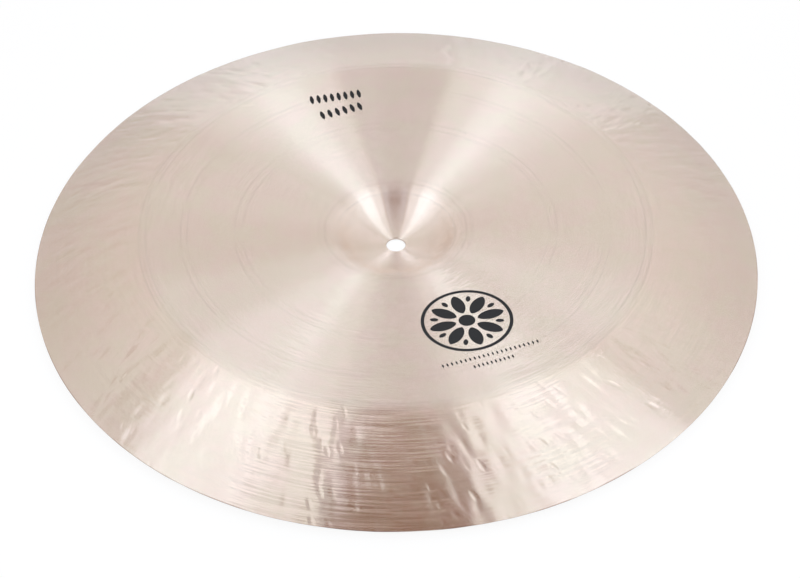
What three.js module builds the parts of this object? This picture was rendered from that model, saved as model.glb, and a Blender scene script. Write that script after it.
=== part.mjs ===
// An 18 inch china cymbal: one sheet of bell bronze, cast, rolled, pressed, hammered and turned.
// Millimetres, +Z up. It lies bell down with its flange turned down, the way it hangs on a stand.
// The origin is on the axis of the mounting hole, on the flat outside of the crown.

import * as THREE from "three";

// Plan radii of the section, from the hole outwards
const HOLE_RADIUS = 6.2;
const CROWN_FLAT_RADIUS = 9.5;
const BELL_RADIUS = 45.5;
const CREASE_RADIUS = 159;
const RIM_RADIUS = 228.6;

// Radial widths of the two curves that join the bell to the bow and the bow to the flange
const MOUTH_BLEND = 6;
const CREASE_BLEND = 10;

// Slopes of the sheet in degrees, positive where it climbs outwards
const BELL_WALL_SLOPE = 42;
const BOW_INNER_SLOPE = 4;
const BOW_OUTER_SLOPE = 7.2;
const FLANGE_INNER_SLOPE = -14;
const FLANGE_OUTER_SLOPE = -21;

// Wall, thickest at the crown and turned thinner towards the rim
const CROWN_THICKNESS = 1.6;
const MOUTH_THICKNESS = 1.3;
const CREASE_THICKNESS = 0.95;
const RIM_THICKNESS = 0.7;
const HOLE_CHAMFER = 0.3;

// Turned rings: shallow V grooves that the tool left in the upper face
const GROOVE_DEPTH = 0.14;
const GROOVE_WIDTH = 1.6;
const GROOVE_PITCH = 3.2;
const BOW_GROOVE_RADIUS = 101;
const BOW_GROOVES = 2;
const BELL_GROOVES = 1;
const CREASE_GROOVES = 1;

// Hammering: rows of blows that push the whole sheet of the flange down, no two of them alike
const DENT_DEPTH = 0.8;
const DENT_ROWS = 4;

// The count of facets round a ring doubles twice on its way out, which keeps them nearly square
const BELL_FACETS = 40;
const BOW_FACETS = 2 * BELL_FACETS;
const FLANGE_FACETS = 2 * BOW_FACETS;
const BELL_WALL_STEPS = 6;
const MOUTH_STEPS = 3;
const BOW_STEPS = 6;
const CREASE_STEPS = 3;

const radians = THREE.MathUtils.degToRad;
const lerp = THREE.MathUtils.lerp;

// The sheet's thickness at a radius, in straight tapers between the named walls
function thicknessAt(radius) {
  const walls = [
    [CROWN_FLAT_RADIUS, CROWN_THICKNESS],
    [BELL_RADIUS, MOUTH_THICKNESS],
    [CREASE_RADIUS, CREASE_THICKNESS],
    [RIM_RADIUS, RIM_THICKNESS],
  ];
  const outer = walls.findIndex(([wallRadius]) => wallRadius >= radius);
  if (outer === 0) return CROWN_THICKNESS;
  const [a, thicknessAtA] = walls[outer - 1];
  const [b, thicknessAtB] = walls[outer];
  return lerp(thicknessAtA, thicknessAtB, (radius - a) / (b - a));
}

// A station is a point on the middle of the sheet, with its slope, its facets and its row of dents, if any.
// A stretch of the section is one circular arc: the radii and slopes of its two ends fix its curve and rise.
function arcStations(start, stretch) {
  const startSine = Math.sin(start.slope);
  const endSine = Math.sin(radians(stretch.slope));
  const curvature = (endSine - startSine) / (stretch.radius - start.radius);
  const stations = [];
  for (let i = 1; i <= stretch.steps; i++) {
    const share = i / stretch.steps;
    const radius = lerp(start.radius, stretch.radius, share);
    const slope = Math.asin(lerp(startSine, endSine, share));
    const rise = curvature
      ? (Math.cos(start.slope) - Math.cos(slope)) / curvature
      : (radius - start.radius) * Math.tan(slope);
    const row = stretch.hammered && i < stretch.steps ? i : 0;
    stations.push({ radius, height: start.height + rise, slope, facets: stretch.facets, row });
  }
  return stations;
}

// The middle of the sheet from the edge of the flat crown to the rim, each arc tangent to the last
function sheetStations() {
  const noseRadius = (RIM_THICKNESS / 2) * Math.cos(radians(FLANGE_OUTER_SLOPE));
  const bellWall = {
    radius: BELL_RADIUS - MOUTH_BLEND,
    slope: BELL_WALL_SLOPE,
    steps: BELL_WALL_STEPS,
    facets: BELL_FACETS,
  };
  const mouth = {
    radius: BELL_RADIUS,
    slope: BOW_INNER_SLOPE,
    steps: MOUTH_STEPS,
    facets: BELL_FACETS,
  };
  const bow = {
    radius: CREASE_RADIUS - CREASE_BLEND / 2,
    slope: BOW_OUTER_SLOPE,
    steps: BOW_STEPS,
    facets: BOW_FACETS,
  };
  const crease = {
    radius: CREASE_RADIUS + CREASE_BLEND / 2,
    slope: FLANGE_INNER_SLOPE,
    steps: CREASE_STEPS,
    facets: FLANGE_FACETS,
  };
  const flange = {
    radius: RIM_RADIUS - noseRadius,
    slope: FLANGE_OUTER_SLOPE,
    steps: DENT_ROWS + 1,
    facets: FLANGE_FACETS,
    hammered: true,
  };
  const stations = [
    { radius: CROWN_FLAT_RADIUS, height: CROWN_THICKNESS / 2, slope: 0, facets: BELL_FACETS, row: 0 },
  ];
  for (const stretch of [bellWall, mouth, bow, crease, flange]) {
    stations.push(...arcStations(stations[stations.length - 1], stretch));
  }
  return stations;
}

// A ring is one closed row of vertices. side is 1 for one on the upper face and -1 for one on the lower.
function ringOn(station, side, sink = 0) {
  const offset = (side * thicknessAt(station.radius)) / 2 - sink;
  return {
    ...station,
    radius: station.radius - offset * Math.sin(station.slope),
    height: station.height + offset * Math.cos(station.slope),
  };
}

// A station for a turned ring, on the straight line between its two neighbours
function stationAt(stations, radius) {
  const outer = stations.findIndex((station) => station.radius >= radius);
  const a = stations[outer - 1];
  const b = stations[outer];
  const share = (radius - a.radius) / (b.radius - a.radius);
  return {
    radius,
    height: lerp(a.height, b.height, share),
    slope: lerp(a.slope, b.slope, share),
    facets: b.facets,
    row: 0,
  };
}

// The radii of a group of turned rings, the first at the radius given
function grooveCentres(radius, count) {
  return Array.from({ length: count }, (_, i) => radius + i * GROOVE_PITCH);
}

// One V groove in the upper face: its two lips on the face and its root below it
function grooveRings(stations, radius) {
  const innerLip = stationAt(stations, radius - GROOVE_WIDTH / 2);
  const root = stationAt(stations, radius);
  const outerLip = stationAt(stations, radius + GROOVE_WIDTH / 2);
  return [ringOn(innerLip, 1), ringOn(root, 1, GROOVE_DEPTH), ringOn(outerLip, 1)];
}

// The upper face from the crown to the rim, with the turned rings in their places among its stations
function upperRings(stations) {
  const centres = [
    ...grooveCentres(BELL_RADIUS, BELL_GROOVES),
    ...grooveCentres(BOW_GROOVE_RADIUS, BOW_GROOVES),
    ...grooveCentres(CREASE_RADIUS, CREASE_GROOVES),
  ];
  const clearOfGrooves = (station) =>
    centres.every((centre) => Math.abs(station.radius - centre) > GROOVE_WIDTH);
  const rings = stations.filter(clearOfGrooves).map((station) => ringOn(station, 1));
  for (const centre of centres) rings.push(...grooveRings(stations, centre));
  return rings.sort((a, b) => a.radius - b.radius);
}

// The whole section as a closed loop of rings: chamfered hole, upper face, round rim, lower face
function sectionRings() {
  const stations = sheetStations();
  const edge = stations[stations.length - 1];
  const holeRing = (radius, height) => ({ radius, height, slope: 0, facets: BELL_FACETS, row: 0 });
  const rimNose = {
    ...edge,
    radius: RIM_RADIUS,
    height: edge.height + (RIM_THICKNESS / 2) * Math.sin(edge.slope),
  };
  return [
    holeRing(HOLE_RADIUS, HOLE_CHAMFER),
    holeRing(HOLE_RADIUS, CROWN_THICKNESS - HOLE_CHAMFER),
    holeRing(HOLE_RADIUS + HOLE_CHAMFER, CROWN_THICKNESS),
    ...upperRings(stations),
    rimNose,
    ...stations.map((station) => ringOn(station, -1)).reverse(),
    holeRing(HOLE_RADIUS + HOLE_CHAMFER, 0),
  ];
}

// How far the hammer has pushed the sheet down at a facet corner, the same on both faces
function dentAt(ring, column) {
  if (!ring.row) return 0;
  return DENT_DEPTH * THREE.MathUtils.seededRandom(ring.row * ring.facets + column);
}

function ringVertices(ring) {
  const vertices = [];
  for (let column = 0; column < ring.facets; column++) {
    const angle = (2 * Math.PI * column) / ring.facets;
    const dent = dentAt(ring, column);
    const radius = ring.radius + dent * Math.sin(ring.slope);
    const height = ring.height - dent * Math.cos(ring.slope);
    vertices.push(radius * Math.cos(angle), radius * Math.sin(angle), height);
  }
  return vertices;
}

// Two triangles to a facet. Their common edge is turned from facet to facet, so no dent leans one way.
function evenStrip(ring, here, there) {
  const triangles = [];
  for (let i = 0; i < ring.facets; i++) {
    const turned = (ring.row + i) % 2 === 0;
    if (turned) {
      triangles.push(here(i), there(i), here(i + 1));
      triangles.push(here(i + 1), there(i), there(i + 1));
    } else {
      triangles.push(here(i), there(i), there(i + 1));
      triangles.push(here(i), there(i + 1), here(i + 1));
    }
  }
  return triangles;
}

// Three triangles to a facet, where the next ring has twice as many corners
function doublingStrip(facets, here, there) {
  const triangles = [];
  for (let i = 0; i < facets; i++) {
    triangles.push(here(i), there(2 * i), there(2 * i + 1));
    triangles.push(here(i), there(2 * i + 1), here(i + 1));
    triangles.push(here(i + 1), there(2 * i + 1), there(2 * i + 2));
  }
  return triangles;
}

// Three triangles to a facet, where the next ring has half as many corners
function halvingStrip(facets, here, there) {
  const triangles = [];
  for (let i = 0; i < facets; i++) {
    triangles.push(here(2 * i), there(i), here(2 * i + 1));
    triangles.push(here(2 * i + 1), there(i), there(i + 1));
    triangles.push(here(2 * i + 1), there(i + 1), here(2 * i + 2));
  }
  return triangles;
}

// The triangles between one ring and the next
function stripTriangles(ring, start, next, nextStart) {
  const here = (i) => start + (i % ring.facets);
  const there = (i) => nextStart + (i % next.facets);
  if (next.facets > ring.facets) return doublingStrip(ring.facets, here, there);
  if (next.facets < ring.facets) return halvingStrip(next.facets, here, there);
  return evenStrip(ring, here, there);
}

// One closed skin through all the rings, the last joined to the first
function skinOver(rings) {
  const positions = [];
  const starts = [];
  for (const ring of rings) {
    starts.push(positions.length / 3);
    positions.push(...ringVertices(ring));
  }
  const index = rings.flatMap((ring, i) => {
    const j = (i + 1) % rings.length;
    return stripTriangles(ring, starts[i], rings[j], starts[j]);
  });
  const geometry = new THREE.BufferGeometry();
  geometry.setAttribute("position", new THREE.Float32BufferAttribute(positions, 3));
  geometry.setIndex(index);
  geometry.computeVertexNormals();
  return geometry;
}

const bellBronze = new THREE.MeshStandardMaterial({
  color: 0xd8c2b2,
  roughness: 0.32,
  metalness: 1,
});

const cymbal = new THREE.Mesh(skinOver(sectionRings()), bellBronze);
cymbal.name = "cymbal";

const chinaCymbal = new THREE.Group();
chinaCymbal.add(cymbal);

export default chinaCymbal;
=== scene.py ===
import math

import bpy
import numpy as np
from mathutils import Matrix, Vector


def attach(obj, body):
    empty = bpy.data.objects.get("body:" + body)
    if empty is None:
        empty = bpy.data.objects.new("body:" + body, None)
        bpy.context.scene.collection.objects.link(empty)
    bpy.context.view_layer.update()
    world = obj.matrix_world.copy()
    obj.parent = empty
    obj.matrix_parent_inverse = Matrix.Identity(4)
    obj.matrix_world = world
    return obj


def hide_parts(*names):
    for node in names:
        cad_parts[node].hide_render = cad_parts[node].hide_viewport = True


# An 18 inch china cymbal of bell bronze, lying bell down on a pale studio floor. Lengths are in metres.
MM = 0.001

# Radii of the profile, from the centre hole to the rim.
HOLE_RADIUS = 6.2 * MM
CROWN_FLAT_RADIUS = 9.5 * MM
BELL_WALL_RADIUS = 35 * MM
BELL_RADIUS = 45.5 * MM
BELL_MOUTH_RADIUS = 49 * MM
CREASE_RADIUS = 159 * MM
CREASE_HALF_BLEND = 5 * MM
CREASE_START = CREASE_RADIUS - CREASE_HALF_BLEND
CREASE_END = CREASE_RADIUS + CREASE_HALF_BLEND
RIM_RADIUS = 228.6 * MM

# Slopes of the sheet where each stretch of the profile ends, positive where it climbs outwards.
BELL_WALL_SLOPE = math.radians(38.36)
BOW_INNER_SLOPE = math.radians(4.1)
BOW_OUTER_SLOPE = math.radians(7.2)
FLANGE_INNER_SLOPE = math.radians(-14)
FLANGE_OUTER_SLOPE = math.radians(-21)
STRETCHES = (
    (BELL_WALL_RADIUS, BELL_WALL_SLOPE),
    (BELL_MOUTH_RADIUS, BOW_INNER_SLOPE),
    (CREASE_START, BOW_OUTER_SLOPE),
    (CREASE_END, FLANGE_INNER_SLOPE),
    (RIM_RADIUS, FLANGE_OUTER_SLOPE),
)

# Thickness of the sheet, which tapers from the crown to the rim.
THICKNESS_RADII = (CROWN_FLAT_RADIUS, BELL_RADIUS, CREASE_RADIUS, RIM_RADIUS)
THICKNESSES = (1.6 * MM, 1.3 * MM, 0.95 * MM, 0.7 * MM)
HOLE_CHAMFER = 0.3 * MM

# The rounded lip of the rim: where it starts inside the rim, how far it stands out as a share of half the
# sheet, and the turns of its points.
LIP_WIDTH = 0.5 * MM
LIP_OUT_SHARE = 0.8
LIP_TURNS = np.radians((60, 20, -20, -60))

# Columns of faces round each part of the sheet, which halve and double from one part to the next.
BELL_COLUMNS = 360
BOW_COLUMNS = 2 * BELL_COLUMNS
FLANGE_COLUMNS = 2 * BOW_COLUMNS
BELL_BOW_CHANGE = 50 * MM
BOW_FLANGE_CHANGE = 163 * MM

# Rings of faces in each part of the upper and lower faces, before the lathe tool's rings add theirs.
CROWN_STEPS = 2
UPPER_STEPS = {"bell": 26, "bow": 13, "crease": 6, "flange": 25}
LOWER_STEPS = {"bell": 18, "bow": 8, "crease": 4, "flange": 9}

# Rings cut by the lathe tool, as (radius, depth, width).
TURNED_RINGS = (
    (24.0 * MM, 0.03 * MM, 1.6 * MM),
    (36.5 * MM, 0.03 * MM, 1.2 * MM),
    (38.0 * MM, 0.03 * MM, 1.2 * MM),
    (45.6 * MM, 0.02 * MM, 1.8 * MM),
    (99.4 * MM, 0.03 * MM, 1.8 * MM),
    (102.6 * MM, 0.04 * MM, 1.8 * MM),
    (131.5 * MM, 0.03 * MM, 1.8 * MM),
    (135.5 * MM, 0.03 * MM, 1.8 * MM),
    (156.6 * MM, 0.04 * MM, 1.8 * MM),
    (160.2 * MM, 0.05 * MM, 1.8 * MM),
)

# Other rings of faces stay at least this share of a turned ring's width away from its middle.
RING_CLEARANCE_SHARE = 0.8

# Rows of hammer marks on the flange, as (radius, marks in the row).
MARK_ROWS = (
    (167 * MM, 95),
    (176 * MM, 115),
    (186 * MM, 130),
    (197 * MM, 135),
    (207 * MM, 135),
    (218 * MM, 130),
)
MARK_HALF_LENGTH = (2.8 * MM, 6.4 * MM)
MARK_HALF_WIDTH = (1.5 * MM, 2.6 * MM)
MARK_DEPTH = (0.01 * MM, 0.20 * MM)
MARK_DEPTH_POWER = 1.5
MARK_LEAN = 0.38
MARK_LEAN_SCATTER = 0.12
MARK_SCATTER = 2.2 * MM
MARK_SHARPNESS = 1.1
MARK_REACH = 3
MARKS_START = 163 * MM
MARKS_FULL = 170 * MM
MARK_SEED = 11

# Ripples over the marks, as (crests round the axis, height, turn per metre outwards, seed), and the rim's
# slow waves, as (crests round the axis, height).
RIPPLES = (
    (range(38, 96, 4), 0.008 * MM, -2.0, 3),
    (range(44, 120, 7), 0.006 * MM, 0.8, 4),
)
RIM_WAVES = (
    (3, 0.09 * MM),
    (5, 0.06 * MM),
    (8, 0.07 * MM),
    (13, 0.06 * MM),
    (19, 0.05 * MM),
    (26, 0.04 * MM),
    (33, 0.035 * MM),
)
RIM_WAVE_START = 195 * MM
RIM_WAVE_SEED = 5

# Where the camera stands, from the centre of the rim.
RIM_HEIGHT = 5.1 * MM
CAMERA_DISTANCE = 970 * MM
CAMERA_ELEVATION = 0.746397
CAMERA_PITCH = -0.032199
CAMERA_YAW = 0.002263
CAMERA_ROLL = -0.015313
FOCAL_IN_WIDTHS = 1.88981
SENSOR_WIDTH = 36


class Value:
    """A number that changes over a surface, held as a socket of shader nodes, with Python's arithmetic."""

    def __init__(self, nodes, socket):
        self.nodes = nodes
        self.socket = socket

    def math(self, operation, *others):
        return self.nodes.math(operation, self, *others)

    def __add__(self, other):
        return self.math("ADD", other)

    def __radd__(self, other):
        return self.nodes.math("ADD", other, self)

    def __sub__(self, other):
        return self.math("SUBTRACT", other)

    def __rsub__(self, other):
        return self.nodes.math("SUBTRACT", other, self)

    def __mul__(self, other):
        return self.math("MULTIPLY", other)

    def __rmul__(self, other):
        return self.nodes.math("MULTIPLY", other, self)

    def __truediv__(self, other):
        return self.math("DIVIDE", other)

    def __rtruediv__(self, other):
        return self.nodes.math("DIVIDE", other, self)

    def __pow__(self, other):
        return self.math("POWER", other)

    def __abs__(self):
        return self.math("ABSOLUTE")


class Nodes:
    """The node tree of one material, or of the world."""

    def __init__(self, tree):
        self.tree = tree
        tree.nodes.clear()

    def add(self, kind, settings=None, inputs=None):
        """A new node with its settings made first, and then the values or links of its sockets."""
        node = self.tree.nodes.new(kind)
        for name, value in (settings or {}).items():
            if name == "stops":
                self.set_stops(node.color_ramp, value)
            else:
                setattr(node, name, value)
        for name, value in (inputs or {}).items():
            self.feed(node.inputs[name], value)
        return node

    def feed(self, socket, value):
        if isinstance(value, Value):
            value = value.socket
        if isinstance(value, bpy.types.NodeSocket):
            self.tree.links.new(value, socket)
        else:
            socket.default_value = value

    def set_stops(self, ramp, stops):
        while len(ramp.elements) < len(stops):
            ramp.elements.new(1)
        for element, (place, level) in zip(ramp.elements, stops):
            element.position = place
            element.color = (level, level, level, 1)

    def join(self, x, y, z):
        """A vector made of three parts."""
        return self.add("ShaderNodeCombineXYZ", {}, {"X": x, "Y": y, "Z": z}).outputs["Vector"]

    def math(self, operation, *numbers):
        node = self.add("ShaderNodeMath", {"operation": operation}, dict(enumerate(numbers)))
        return Value(self, node.outputs[0])

    def ramp(self, number, stops):
        """A level that follows a number from 0 to 1 through the stops, each (place, level)."""
        settings = {"stops": stops}
        node = self.add("ShaderNodeValToRGB", settings, {"Fac": number})
        return Value(self, node.outputs["Color"])

    def smooth(self, number, low, high):
        """0 below low, 1 above high, with a soft step between them."""
        settings = {"interpolation_type": "SMOOTHSTEP"}
        inputs = {"Value": number, "From Min": low, "From Max": high}
        return Value(self, self.add("ShaderNodeMapRange", settings, inputs).outputs["Result"])

    def noise(self, place, scale, detail=2.0, roughness=0.5):
        inputs = {"Vector": place, "Scale": scale, "Detail": detail, "Roughness": roughness}
        return Value(self, self.add("ShaderNodeTexNoise", {}, inputs).outputs["Fac"])

    def vector(self, operation, *vectors):
        node = self.add("ShaderNodeVectorMath", {"operation": operation}, dict(enumerate(vectors)))
        return node.outputs["Vector"]

    def scaled(self, vector, number):
        node = self.add("ShaderNodeVectorMath", {"operation": "SCALE"}, {0: vector, "Scale": number})
        return node.outputs["Vector"]

    def parts(self, vector):
        """The three parts of a vector, as values."""
        node = self.add("ShaderNodeSeparateXYZ", {}, {"Vector": vector})
        return [Value(self, socket) for socket in node.outputs]

    def blend(self, share, first, second):
        """A colour between two others."""
        node = self.add("ShaderNodeMix", {"data_type": "RGBA"}, {})
        self.feed(node.inputs["Factor"], share)
        colours = [socket for socket in node.inputs if socket.type == "RGBA"]
        self.feed(colours[0], first)
        self.feed(colours[1], second)
        return next(socket for socket in node.outputs if socket.type == "RGBA")


def new_material(name):
    material = bpy.data.materials.new(name)
    material.use_nodes = True
    return material, Nodes(material.node_tree)


# The grooves are finer than a pixel. Their sides lean along the radius, most by less than the spread.
GROOVE_ROUGHNESS = 0.18
BOW_SPREAD = 0.471
FLANGE_SPREAD = 0.367
STEEPEST_SHARE = 0.95
SPREAD_CHANGE = (CREASE_RADIUS - 2 * MM, CREASE_RADIUS + 4 * MM)
PATCH_SCALE = 14.0


def bronze():
    """Turned bell bronze: bright metal with fine grooves, lathe strokes, small blows and uneven colour,
    partly painted light and shade.
    """
    material, nodes = new_material("turned_bell_bronze")
    place = nodes.add("ShaderNodeTexCoord").outputs["Object"]
    x, y, z = nodes.parts(place)
    radius = (x * x + y * y) ** 0.5
    east, north = x / radius, y / radius
    flange = nodes.smooth(radius, *SPREAD_CHANGE)
    patches = nodes.noise(place, PATCH_SCALE)
    strokes = lathe_strokes(nodes, east, north, radius, patches)
    spread = BOW_SPREAD + flange * (FLANGE_SPREAD - BOW_SPREAD)
    blows = {
        "Strength": 1.0,
        "Distance": MM,
        "Height": small_blows(nodes, east, north, radius) * flange * -BLOW_DEPTH,
        "Normal": grooved_normal(nodes, place, east, north, spread, strokes),
    }
    metal = {
        "Base Color": bronze_colour(nodes, place, radius, strokes),
        "Metallic": 1.0,
        "Roughness": GROOVE_ROUGHNESS,
        "Anisotropic": 1.0,
        "Anisotropic Rotation": 0.25,
        "Normal": nodes.add("ShaderNodeBump", {}, blows).outputs["Normal"],
    }
    surface = nodes.add("ShaderNodeBsdfPrincipled", {}, metal)
    nodes.add("ShaderNodeOutputMaterial", {}, {"Surface": surface.outputs["BSDF"]})
    return material


def grooved_normal(nodes, place, east, north, spread, strokes):
    """The way each point faces: the side of a fine groove, which leans by chance, and its stroke's sway."""
    chance = Value(nodes, nodes.add("ShaderNodeTexWhiteNoise", {}, {"Vector": place}).outputs["Value"])
    share = (chance * 2 - 1) * STEEPEST_SHARE
    slope = spread * share / (1 - share * share) ** 0.5 + strokes * STROKE_LEAN
    normal = nodes.add("ShaderNodeNewGeometry").outputs["Normal"]
    around = nodes.vector("CROSS_PRODUCT", normal, nodes.join(east, north, 0.0))
    outwards = nodes.vector("NORMALIZE", nodes.vector("CROSS_PRODUCT", around, normal))
    leaning = nodes.vector("SUBTRACT", normal, nodes.scaled(outwards, slope))
    swayed = nodes.vector("SUBTRACT", leaning, nodes.scaled(around, strokes * STROKE_SWAY))
    return nodes.vector("NORMALIZE", swayed)


# Colours of the metal, and the scale and edges of the noise that mixes them.
BRONZE_YELLOW = (0.815, 0.685, 0.553, 1)
BRONZE_PINK = (0.834, 0.671, 0.563, 1)
BELL_PAINTED_LIGHT = (0.950, 0.800, 0.684, 1)
BRONZE_EDGE = (0.42, 0.27, 0.20, 1)
TINT_SCALE = 42.0
TINT_DETAIL = 3.0
TINT_NOISE_ROUGHNESS = 0.6
TINT_EDGES = (0.34, 0.66)
WORN_SCALE = 26.0
WORN_EDGES = (0.42, 0.60)
WORN_SHARE = 0.7
WORN_START = RIM_RADIUS - 0.6 * MM
WORN_FULL = RIM_RADIUS - 0.1 * MM

# How pale the bell is painted, as painted light, from the crown to its wall, and where its painted paler
# colour ends.
CROWN_PALE_SHARE = 0.36
WALL_PALE_SHARE = 0.80
WALL_PALE_START = (20 * MM, 32 * MM)
BELL_PALE_END = (37 * MM, 46 * MM)

# Painted light and shade in the colour: how much brighter the flange is painted where it starts, how much
# more than that it loses on the way out, so that it ends painted darker, and how much painted light and
# shade the strokes add.
FLANGE_PAINTED_LIGHT = 0.05
FLANGE_GAIN_START = (CREASE_RADIUS, CREASE_END)
FLANGE_PAINTED_SHADE = 0.08
FLANGE_FADE_ALONG = (168 * MM, 222 * MM)
STROKE_PAINTED_LIGHT_AND_SHADE = 0.06


def bronze_colour(nodes, place, radius, strokes):
    """Patches of yellower and pinker metal, a paler bell of painted light, painted light and shade from the
    strokes, the lathe's lines and the flange, and a browner, worn edge.
    """
    tint = nodes.noise(place, TINT_SCALE, TINT_DETAIL, TINT_NOISE_ROUGHNESS)
    metal = nodes.blend(nodes.smooth(tint, *TINT_EDGES), BRONZE_YELLOW, BRONZE_PINK)
    edge = nodes.smooth(radius, WORN_START, WORN_FULL)
    worn = nodes.smooth(nodes.noise(place, WORN_SCALE), *WORN_EDGES)
    metal = nodes.blend(edge * worn * WORN_SHARE, metal, BRONZE_EDGE)
    # The bell's paler colour is painted light, strongest towards its wall.
    wall = nodes.smooth(radius, *WALL_PALE_START)
    pale = CROWN_PALE_SHARE + wall * (WALL_PALE_SHARE - CROWN_PALE_SHARE)
    metal = nodes.blend((1 - nodes.smooth(radius, *BELL_PALE_END)) * pale, metal, BELL_PAINTED_LIGHT)
    # Painted light on the flange by the crease, turning to painted shade towards the rim.
    flange = nodes.smooth(radius, *FLANGE_GAIN_START) * FLANGE_PAINTED_LIGHT
    flange = flange - nodes.smooth(radius, *FLANGE_FADE_ALONG) * FLANGE_PAINTED_SHADE
    # The metal's colour is scaled by painted light and shade: the flange's, the strokes' and the darker
    # lines of the lathe's rings.
    return nodes.scaled(metal, 1 + flange + strokes * STROKE_PAINTED_LIGHT_AND_SHADE - painted_ring_shade(nodes, radius, tint))


# Thin lines of painted shade round the sheet, along the lathe tool's lines, as (radius, strength).
PAINTED_RING_SHADES = (
    (38.0 * MM, 0.05),
    (45.3 * MM, 0.04),
    (49.2 * MM, 0.03),
    (97.0 * MM, 0.03),
    (102.0 * MM, 0.04),
    (131.5 * MM, 0.03),
    (135.5 * MM, 0.04),
    (157.0 * MM, 0.04),
    (161.5 * MM, 0.04),
)
RING_LINE_CORE = 0.2 * MM
RING_LINE_HALF = 0.9 * MM
RING_LINE_BREAKS = (0.30, 0.55)


def painted_ring_shade(nodes, radius, tint):
    """How much painted shade the lathe tool's lines put on the metal, broken up by the patches of colour.
    """
    total = 0.0
    for centre, strength in PAINTED_RING_SHADES:
        total = total + (1 - nodes.smooth(abs(radius - centre), RING_LINE_CORE, RING_LINE_HALF)) * strength
    return total * nodes.smooth(tint, *RING_LINE_BREAKS)


# The lathe's strokes: how many there are in one turn, how far apart they lie, and how far they lean along
# the radius and sway round the axis. They also paint light and shade into the colour. They are deepest at
# the front, and their painted light and shade with them.
STROKES_PER_TURN = 32
STROKE_PITCH = 0.85 * MM
STROKE_LEAN = 0.16
STROKE_SWAY = 0.035
STROKE_EDGES = (0.36, 0.64)
STROKES_FAR_SHARE = 0.35
STROKES_FRONT = (0.3, 0.9)
STROKE_PATCH_SHARES = (0.3, 1.4)

# How strongly the strokes show, by share of the rim's radius.
STROKE_STRENGTHS = (
    (0.00, 0.20),
    (0.20, 0.40),
    (0.24, 0.52),
    (0.40, 0.48),
    (0.43, 0.60),
    (0.475, 0.60),
    (0.50, 0.48),
    (0.57, 0.60),
    (0.60, 0.48),
    (0.69, 0.72),
    (0.72, 0.84),
    (0.94, 0.84),
    (1.00, 0.65),
)


def lathe_strokes(nodes, east, north, radius, patches):
    """Fine ridges round the axis, each broken into short strokes, about 0 on average."""
    turns = STROKES_PER_TURN / math.tau
    around = nodes.join(east * turns, north * turns, radius / STROKE_PITCH)
    strokes = nodes.smooth(nodes.noise(around, 1.0, 1.0, 0.5), *STROKE_EDGES) - 0.5
    strength = nodes.ramp(radius / RIM_RADIUS, STROKE_STRENGTHS)
    facing = STROKES_FAR_SHARE + nodes.smooth(0 - north, *STROKES_FRONT) * (1 - STROKES_FAR_SHARE)
    least, added = STROKE_PATCH_SHARES
    return strokes * strength * facing * (least + patches * added)


# Small blows of the hammer's edge: how far apart they lie round the axis and along the radius, their depth
# in millimetres, where their sides begin and end, and how their strengths vary.
BLOW_ACROSS = 6.4 * MM
BLOW_ALONG = 12.5 * MM
BLOW_DEPTH = 0.11
BLOW_EDGES = (0.05, 0.38)
BLOW_STRENGTHS = (0.2, 1.0)
BLOW_RADIUS = 200 * MM


def small_blows(nodes, east, north, radius):
    """Short dimples that lean from the radius, from 0 between them to 1 at their deepest."""
    lean = radius * math.tan(MARK_LEAN) / BLOW_RADIUS
    sine, cosine = nodes.math("SINE", lean), nodes.math("COSINE", lean)
    east, north = east * cosine + north * sine, north * cosine - east * sine
    turns = BLOW_RADIUS / BLOW_ACROSS
    place = nodes.join(east * turns, north * turns, radius / BLOW_ALONG)
    inputs = {"Vector": place, "Scale": 1.0, "Randomness": 0.9}
    spots = nodes.add("ShaderNodeTexVoronoi", {"feature": "F1"}, inputs)
    strength = nodes.smooth(nodes.parts(spots.outputs["Color"])[0], *BLOW_STRENGTHS)
    return strength * (1 - nodes.smooth(Value(nodes, spots.outputs["Distance"]), *BLOW_EDGES))


def sheet_at(radii):
    """Height and slope of the middle of the sheet at each radius."""
    heights = np.full_like(radii, THICKNESSES[0] / 2)
    slopes = np.zeros_like(radii)
    start_radius, start_height, start_sine = CROWN_FLAT_RADIUS, THICKNESSES[0] / 2, 0.0
    for end_radius, end_slope in STRETCHES:
        bend = (math.sin(end_slope) - start_sine) / (end_radius - start_radius)
        start_cosine = math.cos(math.asin(start_sine))
        here = radii > start_radius
        sines = np.clip(start_sine + bend * (radii[here] - start_radius), -1, 1)
        slopes[here] = np.arcsin(sines)
        heights[here] = start_height + (start_cosine - np.cos(slopes[here])) / bend
        start_height += (start_cosine - math.cos(end_slope)) / bend
        start_radius, start_sine = end_radius, math.sin(end_slope)
    return heights, slopes


def thickness_at(radii):
    return np.interp(radii, THICKNESS_RADII, THICKNESSES)


def ring_sink(radii):
    """How far the lathe tool's rings sink the upper face at each radius."""
    sink = np.zeros_like(radii)
    for centre, depth, width in TURNED_RINGS:
        sink = np.maximum(sink, depth * (1 - np.abs(radii - centre) / (width / 2)))
    return sink


def face_rings(radii, side, columns, cut=False):
    """Rings of one face of the sheet, as (radius, height, columns, radius along the sheet)."""
    radii = np.asarray(radii, float)
    heights, slopes = sheet_at(radii)
    offset = side * thickness_at(radii) / 2
    if cut:
        offset = offset - ring_sink(radii)
    across = radii - offset * np.sin(slopes)
    up = heights + offset * np.cos(slopes)
    return [(across[i], up[i], columns, radii[i]) for i in range(len(radii))]


def stations(start, end, steps, cut=False):
    """Radii from start to end in even steps, with more where the lathe tool's rings lie."""
    radii = list(np.linspace(start, end, steps + 1))
    if cut:
        for centre, _, width in TURNED_RINGS:
            if start < centre - width / 2 and centre + width / 2 < end:
                radii = [r for r in radii if abs(r - centre) > RING_CLEARANCE_SHARE * width]
                radii += [centre + width * share for share in (-0.5, 0, 0.5)]
    return sorted(radii)


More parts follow.
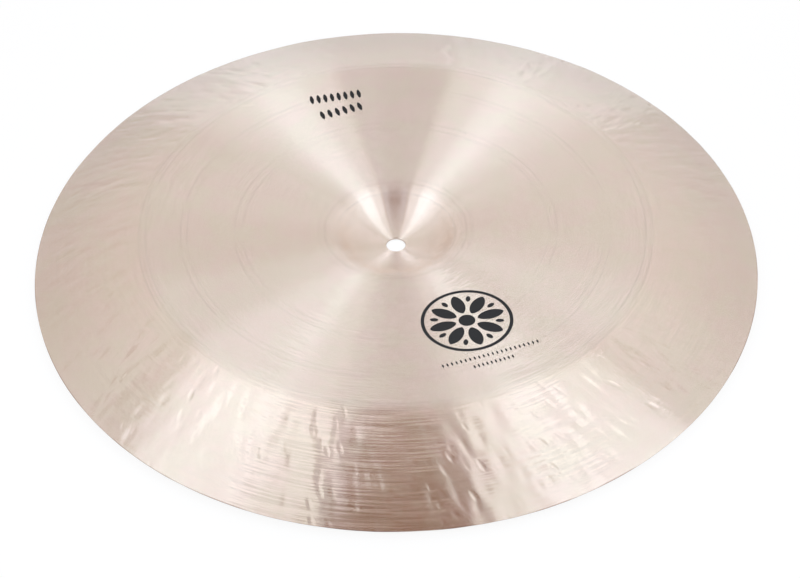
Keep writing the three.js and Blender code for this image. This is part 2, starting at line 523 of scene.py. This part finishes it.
def rim_rings():
    """The rounded lip of the rim, from the upper face round to the lower one."""
    heights, slopes = sheet_at(np.array([RIM_RADIUS - THICKNESSES[-1] / 2]))
    half = THICKNESSES[-1] / 2
    height, slope = heights[0], slopes[0]
    rings = []
    for turn in LIP_TURNS:
        out = half * math.cos(turn) * LIP_OUT_SHARE
        up = half * math.sin(turn)
        across = RIM_RADIUS - half * LIP_OUT_SHARE + out * math.cos(slope) - up * math.sin(slope)
        rings.append((across, height + out * math.sin(slope) + up * math.cos(slope), RIM_RADIUS))
    return rings


def parts_of_face(steps, cut):
    """Radii of the bell, the bow, the crease and the flange, in that many steps each."""
    bell = stations(CROWN_FLAT_RADIUS, BELL_BOW_CHANGE, steps["bell"], cut)
    bow = stations(BELL_BOW_CHANGE, CREASE_START, steps["bow"], cut)
    crease = stations(CREASE_START, BOW_FLANGE_CHANGE, steps["crease"], cut)
    flange = stations(BOW_FLANGE_CHANGE, RIM_RADIUS - LIP_WIDTH, steps["flange"])
    return bell, bow, crease, flange


def section_rings():
    """Every ring of the sheet's surface, from the hole over the upper face to the rim and back below."""
    crown = stations(HOLE_RADIUS + HOLE_CHAMFER, CROWN_FLAT_RADIUS, CROWN_STEPS)
    bell, bow, crease, flange = parts_of_face(UPPER_STEPS, True)
    upper = face_rings(crown, 1, BELL_COLUMNS) + face_rings(bell[1:], 1, BELL_COLUMNS, True)
    upper += face_rings(bow[1:] + crease[1:], 1, BOW_COLUMNS, True)
    upper += face_rings(flange[1:], 1, FLANGE_COLUMNS)
    rim = [(across, up, FLANGE_COLUMNS, radius) for across, up, radius in rim_rings()]
    bell, bow, crease, flange = parts_of_face(LOWER_STEPS, False)
    lower = face_rings((crease[:-1] + flange)[::-1], -1, BOW_COLUMNS)
    lower += face_rings(bow[-2::-1] + bell[-2::-1] + crown[-2::-1], -1, BELL_COLUMNS)
    top = THICKNESSES[0]
    hole = [
        (HOLE_RADIUS, HOLE_CHAMFER, BELL_COLUMNS, HOLE_RADIUS),
        (HOLE_RADIUS, top - HOLE_CHAMFER, BELL_COLUMNS, HOLE_RADIUS),
    ]
    return upper + rim + lower + hole


def hammer_marks():
    """Every mark on the flange, as rows of (radius, angle, half length, half width, depth, lean)."""
    dice = np.random.default_rng(MARK_SEED)
    least, most = MARK_DEPTH
    marks = []
    for radius, count in MARK_ROWS:
        for index in range(count):
            marks.append(
                (
                    radius + dice.normal(0, MARK_SCATTER),
                    (index + dice.uniform(-0.5, 0.5)) * math.tau / count,
                    dice.uniform(*MARK_HALF_LENGTH),
                    dice.uniform(*MARK_HALF_WIDTH),
                    least + (most - least) * dice.uniform() ** MARK_DEPTH_POWER,
                    dice.normal(MARK_LEAN, MARK_LEAN_SCATTER),
                )
            )
    return np.array(marks)


def waves(angles, crests_and_heights, seed):
    """A sum of waves round the axis, each with its own number of crests, height and phase."""
    dice = np.random.default_rng(seed)
    total = np.zeros_like(angles)
    for count, size in crests_and_heights:
        total += size * np.cos(count * angles + dice.uniform(0, math.tau))
    return total


def ease(number, low, high):
    share = np.clip((number - low) / (high - low), 0, 1)
    return share * share * (3 - 2 * share)


def dents(radius, angles, marks):
    """How far the hammering sinks the sheet at this radius, at each angle."""
    if radius <= MARKS_START:
        return np.zeros_like(angles)
    near = marks[np.abs(marks[:, 0] - radius) < MARK_REACH * marks[:, 2]]
    spot, turn, half_length, half_width, depth, lean = near.T[:, :, None]
    around = (angles[None, :] - turn + math.pi) % math.tau - math.pi
    along = radius - spot + 0 * around
    across = around * radius
    along, across = (
        along * np.cos(lean) + across * np.sin(lean),
        across * np.cos(lean) - along * np.sin(lean),
    )
    bowl = np.exp(-MARK_SHARPNESS * ((along / half_length) ** 2 + (across / half_width) ** 2))
    total = (depth * bowl).sum(0)
    for crests, height, turn_out, seed in RIPPLES:
        total = total + waves(angles + turn_out * radius, [(count, height) for count in crests], seed)
    return total * ease(radius, MARKS_START, MARKS_FULL)


def rim_wave(radius, angles):
    """How far the rim strays up and down from a true circle."""
    return waves(angles, RIM_WAVES, RIM_WAVE_SEED) * ease(radius, RIM_WAVE_START, RIM_RADIUS)


def ring_points(ring, marks):
    across, up, columns, radius = ring
    angles = np.arange(columns) * math.tau / columns
    drop = dents(radius, angles, marks) + rim_wave(radius, angles)
    return np.stack([across * np.sin(angles), -across * np.cos(angles), up - drop], 1)


def strip(here, there, columns_here, columns_there):
    """Faces between two rings, given the first point of each, where the columns match, double or halve."""
    faces = []
    if columns_here == columns_there:
        for i in range(columns_here):
            j = (i + 1) % columns_here
            faces.append((here + i, there + i, there + j, here + j))
    elif columns_there == 2 * columns_here:
        for i in range(columns_here):
            j = (i + 1) % columns_here
            middle = there + 2 * i + 1
            after = there + (2 * i + 2) % columns_there
            faces.append((here + i, there + 2 * i, middle))
            faces.append((here + i, middle, here + j))
            faces.append((here + j, middle, after))
    else:
        for face in strip(there, here, columns_there, columns_here):
            faces.append(face[::-1])
    return faces


def solid_of(rings, points_of):
    """The points and faces of a closed body of rings, the last of which joins the first."""
    points = [points_of(ring) for ring in rings]
    starts = np.concatenate([[0], np.cumsum([len(p) for p in points])])
    faces = []
    for i in range(len(rings)):
        j = (i + 1) % len(rings)
        faces += strip(int(starts[i]), int(starts[j]), rings[i][2], rings[j][2])
    return np.concatenate(points), faces


# Edges that bend more than this are drawn sharp.
SHARP_ANGLE = math.radians(40)


def new_piece(name, points, faces, material):
    mesh = bpy.data.meshes.new(name)
    mesh.from_pydata(points.tolist() if isinstance(points, np.ndarray) else points, [], faces)
    mesh.validate()
    mesh.materials.append(material)
    mesh.shade_smooth()
    mesh.set_sharp_from_angle(angle=SHARP_ANGLE)
    piece = bpy.data.objects.new(name, mesh)
    bpy.context.scene.collection.objects.link(piece)
    return piece


def make_cymbal():
    marks = hammer_marks()
    points, faces = solid_of(section_rings(), lambda ring: ring_points(ring, marks))
    cymbal = new_piece("turned_sheet", points, faces, bronze())
    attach(cymbal, "root")
    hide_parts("cymbal")
    return cymbal


# Plain printed ornaments on the upper face, at (east, north) places of the plan, a hair above the metal.
PRINT_LIFT = 0.01 * MM
PRINT_THICKNESS = 0.04 * MM
INK_DARK = (0.008, 0.007, 0.007, 1)
INK_LIGHT = (0.016, 0.014, 0.014, 1)
INK_MOTTLE_SCALE = 300.0
INK_ROUGHNESS = 0.45
INK_SHEEN = 0.25

# The rosette: eight petals round a hub, with a small drop between each two, inside a ring.
ROSETTE_CENTRE = (41.5 * MM, -86.5 * MM)
ROSETTE_PETALS = 8
ROSETTE_TURN = math.radians(18)
ROSETTE_RING_RADII = (27.5 * MM, 25.4 * MM)
RING_POINTS = 96
HUB_RADIUS = 5 * MM
HUB_POINTS = 32
PETAL_PLACE = 15 * MM
PETAL_HALF = (8.2 * MM, 3.9 * MM)
PETAL_POINTS = 24
PETAL_TIP = 1.3
DROP_PLACE = 19.5 * MM
DROP_HALF = (2.6 * MM, 1.5 * MM)
DROP_POINTS = 12
DROP_TIP = 1.2

# Rows of lozenges, as (first end, other end, lozenges, half length, half width).
LOZENGE_POINTS = 8
LOZENGE_TIP = 1.5
FRONT_ROWS = (
    ((24.6 * MM, -126.6 * MM), (82.8 * MM, -107.9 * MM), 22, 1.5 * MM, 0.55 * MM),
    ((42.8 * MM, -128.0 * MM), (67.7 * MM, -119.7 * MM), 10, 1.5 * MM, 0.55 * MM),
)
BACK_ROWS = (
    ((-58.8 * MM, 123.2 * MM), (-21.9 * MM, 131.2 * MM), 8, 4.2 * MM, 1.5 * MM),
    ((-51.4 * MM, 108.0 * MM), (-21.0 * MM, 119.2 * MM), 6, 4.2 * MM, 1.6 * MM),
)


def ink():
    """Matt black ink, a little uneven."""
    material, nodes = new_material("black_ink")
    mottle = nodes.noise(nodes.add("ShaderNodeTexCoord").outputs["Object"], INK_MOTTLE_SCALE)
    paint = {
        "Base Color": nodes.blend(mottle, INK_DARK, INK_LIGHT),
        "Roughness": INK_ROUGHNESS,
        "Specular IOR Level": INK_SHEEN,
    }
    surface = nodes.add("ShaderNodeBsdfPrincipled", {}, paint)
    nodes.add("ShaderNodeOutputMaterial", {}, {"Surface": surface.outputs["BSDF"]})
    return material


def face_height(places):
    """Height of the upper face over each place of the plan."""
    radii = np.hypot(places[:, 0], places[:, 1])
    heights, slopes = sheet_at(radii)
    return heights + thickness_at(radii) / 2 / np.cos(slopes)


def printed_piece(name, outlines, rings, material):
    """A piece of thin closed bodies on the upper face: filled outlines, and rings of two outlines each."""
    points, faces = [], []
    for outline in outlines:
        low, high = printed_layers(outline, points)
        count = len(outline)
        faces.append(tuple(range(high, high + count)))
        faces.append(tuple(range(low + count - 1, low - 1, -1)))
        faces += wall_of(low, high, count)
    for outer, inner in rings:
        low, high = printed_layers(outer, points)
        low_in, high_in = printed_layers(inner, points)
        count = len(outer)
        faces += wall_of(low, high, count)
        faces += wall_of(high, high_in, count)
        faces += wall_of(high_in, low_in, count)
        faces += wall_of(low_in, low, count)
    piece = new_piece(name, np.concatenate(points), faces, material)
    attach(piece, "root")
    return piece


def printed_layers(outline, points):
    """Add the lower and upper points of an outline, and return the numbers of the first of each."""
    start = sum(len(layer) for layer in points)
    heights = face_height(outline) + PRINT_LIFT
    points.append(np.column_stack([outline, heights]))
    points.append(np.column_stack([outline, heights + PRINT_THICKNESS]))
    return start, start + len(outline)


def wall_of(here, there, count):
    """Faces between two loops of points, given the number of the first point of each."""
    return [(here + i, here + (i + 1) % count, there + (i + 1) % count, there + i) for i in range(count)]


def oval(centre, along, half_length, half_width, count, tip=1.0):
    """A closed outline about the centre, its length along that angle. A larger tip makes sharper ends."""
    turns = np.arange(count) * math.tau / count
    out = half_length * np.cos(turns)
    side = half_width * np.sin(turns) * np.abs(np.sin(turns)) ** (tip - 1)
    sine, cosine = math.sin(along), math.cos(along)
    return np.column_stack([centre[0] + out * cosine - side * sine, centre[1] + out * sine + side * cosine])


def row_of_lozenges(start, end, count, half_length, half_width):
    """Small pointed lozenges in a straight row, upright to it."""
    along = math.atan2(end[1] - start[1], end[0] - start[0]) + math.pi / 2
    shares = (np.arange(count) + 0.5) / count
    places = [(start[0] + (end[0] - start[0]) * s, start[1] + (end[1] - start[1]) * s) for s in shares]
    return [oval(place, along, half_length, half_width, LOZENGE_POINTS, LOZENGE_TIP) for place in places]


def make_rosette(material):
    shapes = [oval(ROSETTE_CENTRE, 0.0, HUB_RADIUS, HUB_RADIUS, HUB_POINTS)]
    for i in range(ROSETTE_PETALS):
        along = ROSETTE_TURN + i * math.tau / ROSETTE_PETALS
        between = along + math.pi / ROSETTE_PETALS
        petal = beside(ROSETTE_CENTRE, along, PETAL_PLACE)
        drop = beside(ROSETTE_CENTRE, between, DROP_PLACE)
        shapes.append(oval(petal, along, *PETAL_HALF, PETAL_POINTS, PETAL_TIP))
        shapes.append(oval(drop, between, *DROP_HALF, DROP_POINTS, DROP_TIP))
    ring = [oval(ROSETTE_CENTRE, 0.0, radius, radius, RING_POINTS) for radius in ROSETTE_RING_RADII]
    printed_piece("printed_rosette", shapes, [ring], material)


def make_rows(name, rows, material):
    shapes = []
    for row in rows:
        shapes += row_of_lozenges(*row)
    printed_piece(name, shapes, [], material)


def make_prints():
    """A rosette with two rows of small lozenges below it, and two short rows at the back."""
    black = ink()
    make_rosette(black)
    make_rows("printed_rows_front", FRONT_ROWS, black)
    make_rows("printed_rows_back", BACK_ROWS, black)


def beside(centre, along, distance):
    return (centre[0] + distance * math.cos(along), centre[1] + distance * math.sin(along))


# The floor, which stays white to the camera but keeps a part of the object's shadow.
FLOOR_HALF = 6.0
FLOOR_DROP = 0.15 * MM
FLOOR_SHADE_SHARE = 0.10
FLOOR_WHITE = 1.03
FLOOR_PATCH_SCALE = 9.0
FLOOR_PATCH_DETAIL = 3.0
FLOOR_DARKER = (0.88, 0.88, 0.88, 1)
FLOOR_LIGHTER = (0.92, 0.92, 0.92, 1)


def floor_paint():
    material, nodes = new_material("floor_paint")
    place = nodes.add("ShaderNodeTexCoord").outputs["Object"]
    patches = nodes.noise(place, FLOOR_PATCH_SCALE, FLOOR_PATCH_DETAIL)
    colour = nodes.blend(patches, FLOOR_DARKER, FLOOR_LIGHTER)
    matt = nodes.add("ShaderNodeBsdfDiffuse", {}, {"Color": colour, "Roughness": 0.0})
    white = nodes.add("ShaderNodeEmission", {}, {"Color": (1, 1, 1, 1), "Strength": FLOOR_WHITE})
    camera = Value(nodes, nodes.add("ShaderNodeLightPath").outputs["Is Camera Ray"])
    mix = nodes.add("ShaderNodeMixShader", {}, {0: camera * (1 - FLOOR_SHADE_SHARE)})
    nodes.feed(mix.inputs[1], matt.outputs[0])
    nodes.feed(mix.inputs[2], white.outputs[0])
    nodes.add("ShaderNodeOutputMaterial", {}, {"Surface": mix.outputs[0]})
    return material


def make_floor():
    half = FLOOR_HALF
    corners = [(-half, -half, -FLOOR_DROP), (half, -half, -FLOOR_DROP)]
    corners += [(half, half, -FLOOR_DROP), (-half, half, -FLOOR_DROP)]
    floor = new_piece("studio_floor", corners, [(0, 1, 2, 3)], floor_paint())


# The studio's panels fan out, as seen from above, from a spot behind the object. Their levels go from the
# dark middle panel to the side panels, at the front, overhead and at the back. The panels' edges are angles
# from the middle, on the left and on the right.
PANEL_EDGES_LEFT = (0.241, 0.419, 0.550, 0.908)
PANEL_EDGES_RIGHT = (0.235, 0.388, 0.591, 0.871)
PANEL_SOFTNESS = 0.026
PANEL_LEVELS_FRONT = (0.11, 0.58, 0.91, 1.05, 0.95)
PANEL_LEVELS_OVERHEAD = (0.58, 0.60, 1.10, 0.18, 0.70)
PANEL_LEVELS_BACK = (0.89, 1.06, 1.21, 0.94, 0.68)
PANEL_SPOT_NEAR = 0.774
PANEL_SPOT_FAR = 0.643
PANEL_LEVEL_RIGHT = 0.09
FRONT_FADE = (0.05, 0.63)
BACK_START = 0.7085

# Low down the walls are pale all round, and below the floor they dim. Bright light is cooler than dim
# light, and the dimmest keeps a little green and blue.
LOW_WALL_END = (0.0, 0.15)
LOW_WALL_LEVEL = 1.19
LOW_WALL_RIGHT = 0.225
LOW_WALL_BACK = 0.26
LOW_WALL_BACK_FADE = (0.0, 0.9)
BELOW_FADE = (0.02, 0.6)
BELOW_DIMMER = 0.65
LIGHT_TINT = (0.84, 1.125, 1.40)
LIGHT_SHIFT = (0.115, -0.116, -0.31)
DIMMEST_LIGHT = (0.0, 0.078, 0.02)

# Two long softboxes that lean outwards from the back. Each is given by its side, the spot that it hangs
# over, and its turn about the vertical.
SOFTBOX_HEIGHT = 0.42
SOFTBOX_WIDTH = 0.264
SOFTBOX_LENGTH = 1.194
SOFTBOX_FORWARD = 0.01
SOFTBOX_TIP = 0.773
SOFTBOX_LEAN = 0.161
SOFTBOX_TINT = (0.80, 1.01, 1.25)
SOFTBOXES = (
    {"name": "softbox_left", "level": 0.53, "side": -1, "spot": (0.056, 0.197), "turn": 0.575},
    {"name": "softbox_right", "level": 0.46, "side": 1, "spot": (0.152, -0.050), "turn": 0.572},
)


def panel_level(levels, steps):
    """The light of one row of panels, given how far each panel's inner edge has been passed."""
    total = levels[0]
    for before, after, step in zip(levels, levels[1:], steps):
        total = total + step * (after - before)
    return total


def panels(nodes, x, y):
    """The light of the fan of panels, by the way across and the way to the back."""
    at_back = nodes.math("GREATER_THAN", y, BACK_START)
    spot = PANEL_SPOT_NEAR + at_back * (PANEL_SPOT_FAR - PANEL_SPOT_NEAR)
    turn = nodes.math("ARCTANGENT", x / (spot - y))
    on_right = nodes.math("GREATER_THAN", turn, 0.0)
    steps = []
    for left, right in zip(PANEL_EDGES_LEFT, PANEL_EDGES_RIGHT):
        beyond = abs(turn) - left - on_right * (right - left)
        steps.append(nodes.smooth(beyond, -PANEL_SOFTNESS, PANEL_SOFTNESS))
    at_front = 1 - nodes.smooth(y, *FRONT_FADE)
    overhead = panel_level(PANEL_LEVELS_OVERHEAD, steps)
    near = overhead + at_front * (panel_level(PANEL_LEVELS_FRONT, steps) - overhead)
    level = near + at_back * (panel_level(PANEL_LEVELS_BACK, steps) - near)
    return level + steps[0] * (0.5 + 0.5 * x) * PANEL_LEVEL_RIGHT


def make_world():
    """The studio that the metal reflects, which the camera sees as plain white."""
    world = bpy.data.worlds.new("studio")
    bpy.context.scene.world = world
    world.use_nodes = True
    nodes = Nodes(world.node_tree)
    way = nodes.add("ShaderNodeTexCoord").outputs["Generated"]
    x, y, z = nodes.parts(way)
    low = LOW_WALL_LEVEL + (0.5 + 0.5 * x) * LOW_WALL_RIGHT
    low = low + nodes.smooth(y, *LOW_WALL_BACK_FADE) * LOW_WALL_BACK
    level = low + nodes.smooth(z, *LOW_WALL_END) * (panels(nodes, x, y) - low)
    level = level * (1 - nodes.smooth(0 - z, *BELOW_FADE) * BELOW_DIMMER)
    colour = nodes.vector("MULTIPLY_ADD", nodes.join(level, level, level), LIGHT_TINT, LIGHT_SHIFT)
    colour = nodes.vector("MAXIMUM", colour, DIMMEST_LIGHT)
    camera = Value(nodes, nodes.add("ShaderNodeLightPath").outputs["Is Camera Ray"])
    colour = nodes.blend(camera, colour, (1, 1, 1, 1))
    background = nodes.add("ShaderNodeBackground", {}, {"Color": colour, "Strength": 1.0})
    nodes.add("ShaderNodeOutputWorld", {}, {"Surface": background.outputs[0]})


def make_softbox(name, level, side, spot, turn):
    """A long lamp over that spot, which faces the object with its length turned, then tips and leans."""
    lamp = bpy.data.lights.new(name, "AREA")
    lamp.shape = "RECTANGLE"
    lamp.size = SOFTBOX_WIDTH
    lamp.size_y = SOFTBOX_LENGTH
    lamp.energy = level * math.pi * SOFTBOX_WIDTH * SOFTBOX_LENGTH
    lamp.color = SOFTBOX_TINT
    softbox = bpy.data.objects.new(name, lamp)
    bpy.context.scene.collection.objects.link(softbox)
    centre = Vector((side * spot[0], spot[1], SOFTBOX_HEIGHT))
    ahead = -centre.normalized()
    across = Vector((math.cos(turn), side * math.sin(turn), 0))
    across = (across - ahead * across.dot(ahead)).normalized()
    along = ahead.cross(across)
    if along.y < 0:
        along = -along
    along, ahead = turned(along, ahead, SOFTBOX_TIP)
    across, ahead = turned(across, ahead, side * SOFTBOX_LEAN)
    set_axes(softbox, centre + ahead * SOFTBOX_FORWARD, across, -ahead.cross(across), -ahead)


def set_axes(thing, centre, right, up, back):
    """Put a lamp or camera at the centre with these axes."""
    axes = Matrix((right, up, back)).transposed().to_4x4()
    thing.matrix_world = Matrix.Translation(centre) @ axes


def turned(first, second, angle):
    """Two axes at right angles after a turn from the second towards the first."""
    sine, cosine = math.sin(angle), math.cos(angle)
    return first * cosine - second * sine, second * cosine + first * sine


def make_camera():
    """The camera, which stands off the rim's centre, then turns a little up, aside and over."""
    sine, cosine = math.sin(CAMERA_ELEVATION), math.cos(CAMERA_ELEVATION)
    ahead = Vector((0, cosine, -sine))
    up = Vector((0, sine, cosine))
    right = Vector((1, 0, 0))
    centre = Vector((0, 0, RIM_HEIGHT)) - ahead * CAMERA_DISTANCE
    up, ahead = turned(up, ahead, CAMERA_PITCH)
    right, ahead = turned(right, ahead, CAMERA_YAW)
    up, right = turned(up, right, CAMERA_ROLL)
    lens = bpy.data.cameras.new("camera")
    lens.sensor_width = SENSOR_WIDTH
    lens.lens = SENSOR_WIDTH * FOCAL_IN_WIDTHS
    camera = bpy.data.objects.new("camera", lens)
    set_axes(camera, centre, right, up, -ahead)
    bpy.context.scene.collection.objects.link(camera)
    bpy.context.scene.camera = camera


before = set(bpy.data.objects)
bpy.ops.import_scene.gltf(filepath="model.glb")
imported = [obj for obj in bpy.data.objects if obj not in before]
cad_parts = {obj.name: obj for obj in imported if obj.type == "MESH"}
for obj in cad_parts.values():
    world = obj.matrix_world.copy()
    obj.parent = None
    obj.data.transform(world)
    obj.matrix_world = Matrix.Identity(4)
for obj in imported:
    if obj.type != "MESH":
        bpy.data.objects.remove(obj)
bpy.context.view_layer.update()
bpy.context.scene.view_settings.view_transform = "Standard"
make_camera()
make_world()
for softbox in SOFTBOXES:
    make_softbox(**softbox)
make_floor()
make_cymbal()
make_prints()
